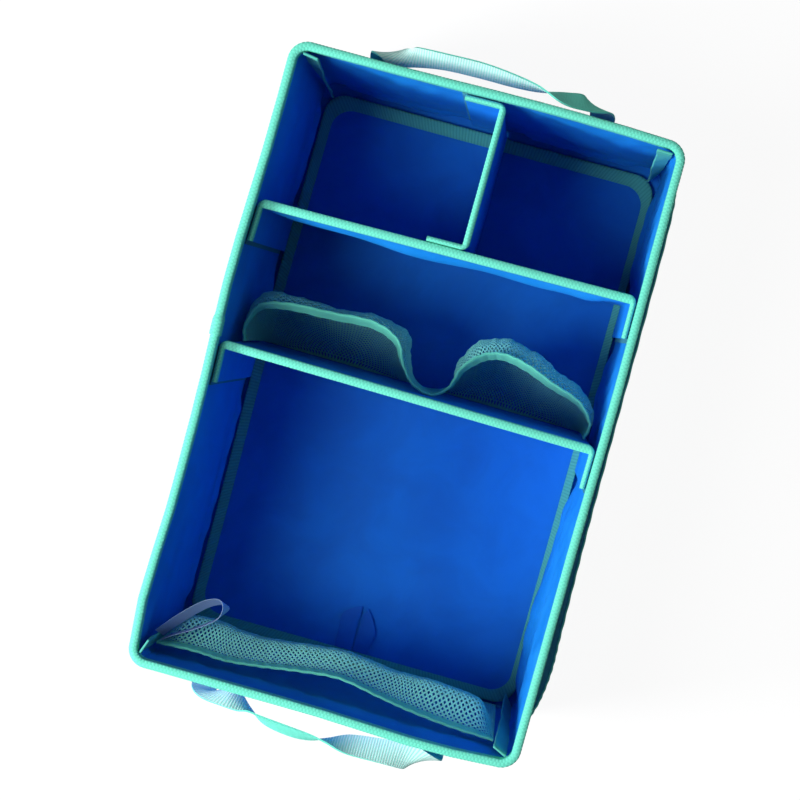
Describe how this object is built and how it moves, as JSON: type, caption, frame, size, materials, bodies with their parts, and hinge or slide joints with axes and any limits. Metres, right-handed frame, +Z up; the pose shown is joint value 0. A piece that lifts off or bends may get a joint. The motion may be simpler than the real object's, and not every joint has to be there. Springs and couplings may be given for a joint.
{
  "type": "car organizer bag",
  "caption": "Open-topped fabric car boot organiser with stiffened walls, taped edges, removable dividers, a loose floor board, mesh pockets and webbing handles.",
  "frame": {"origin": "centre of the underside of the bottom cloth", "axes": "+Z up, +Y towards the end with the small divider, +X towards the side with the outside pocket"},
  "size_m": [0.406, 0.672, 0.3012],
  "materials": {
    "blue_cloth": "woven polyester",
    "mint_tape": "ribbed binding tape",
    "mint_webbing": "ribbed webbing",
    "teal_mesh": "knitted mesh",
    "teal_elastic": "elastic tape",
    "grey_board": "plain board",
    "hook_tape": "hook tape",
    "loop_tape": "loop tape",
    "blue_satin": "satin"
  },
  "bodies": {
    "root": {"cover_left": "blue_cloth", "cover_right": "blue_cloth", "cover_far": "blue_cloth", "cover_near": "blue_cloth", "wall_board_left": "grey_board", "wall_board_right": "grey_board", "wall_board_far": "grey_board", "wall_board_near": "grey_board", "lining_left": "blue_cloth", "lining_right": "blue_cloth", "lining_far": "blue_cloth", "lining_near": "blue_cloth", "bottom_panel": "blue_cloth", "rim_binding": "mint_tape", "corner_binding_far_left": "mint_tape", "corner_binding_far_right": "mint_tape", "corner_binding_near_left": "mint_tape", "corner_binding_near_right": "mint_tape", "floor_board_core": "grey_board", "floor_board_lower_cloth": "blue_cloth", "floor_board_upper_cloth": "blue_cloth", "floor_board_binding": "mint_tape", "pull_tab": "blue_cloth", "far_divider_board": "grey_board", "far_divider_outer_cloth": "blue_cloth", "far_divider_inner_cloth": "blue_cloth", "far_divider_binding": "mint_tape", "far_divider_hook_left": "hook_tape", "far_divider_hook_right": "hook_tape", "far_divider_loop_left": "loop_tape", "far_divider_loop_right": "loop_tape", "near_divider_board": "grey_board", "near_divider_outer_cloth": "blue_cloth", "near_divider_inner_cloth": "blue_cloth", "near_divider_binding": "mint_tape", "near_divider_hook_left": "hook_tape", "near_divider_hook_right": "hook_tape", "near_divider_loop_left": "loop_tape", "near_divider_loop_right": "loop_tape", "small_divider_board": "grey_board", "small_divider_outer_cloth": "blue_cloth", "small_divider_inner_cloth": "blue_cloth", "small_divider_binding": "mint_tape", "small_divider_hook_near": "hook_tape", "small_divider_hook_far": "hook_tape", "small_divider_loop_near": "loop_tape", "small_divider_loop_far": "loop_tape", "divider_pocket_mesh": "teal_mesh", "divider_pocket_hem": "teal_elastic", "near_pocket_mesh": "teal_mesh", "near_pocket_hem": "teal_elastic", "outer_pocket_mesh": "teal_mesh", "outer_pocket_hem": "teal_elastic", "label_loop": "blue_satin", "far_handle": "mint_webbing", "near_handle": "mint_webbing"}
  },
  "joints": []
}
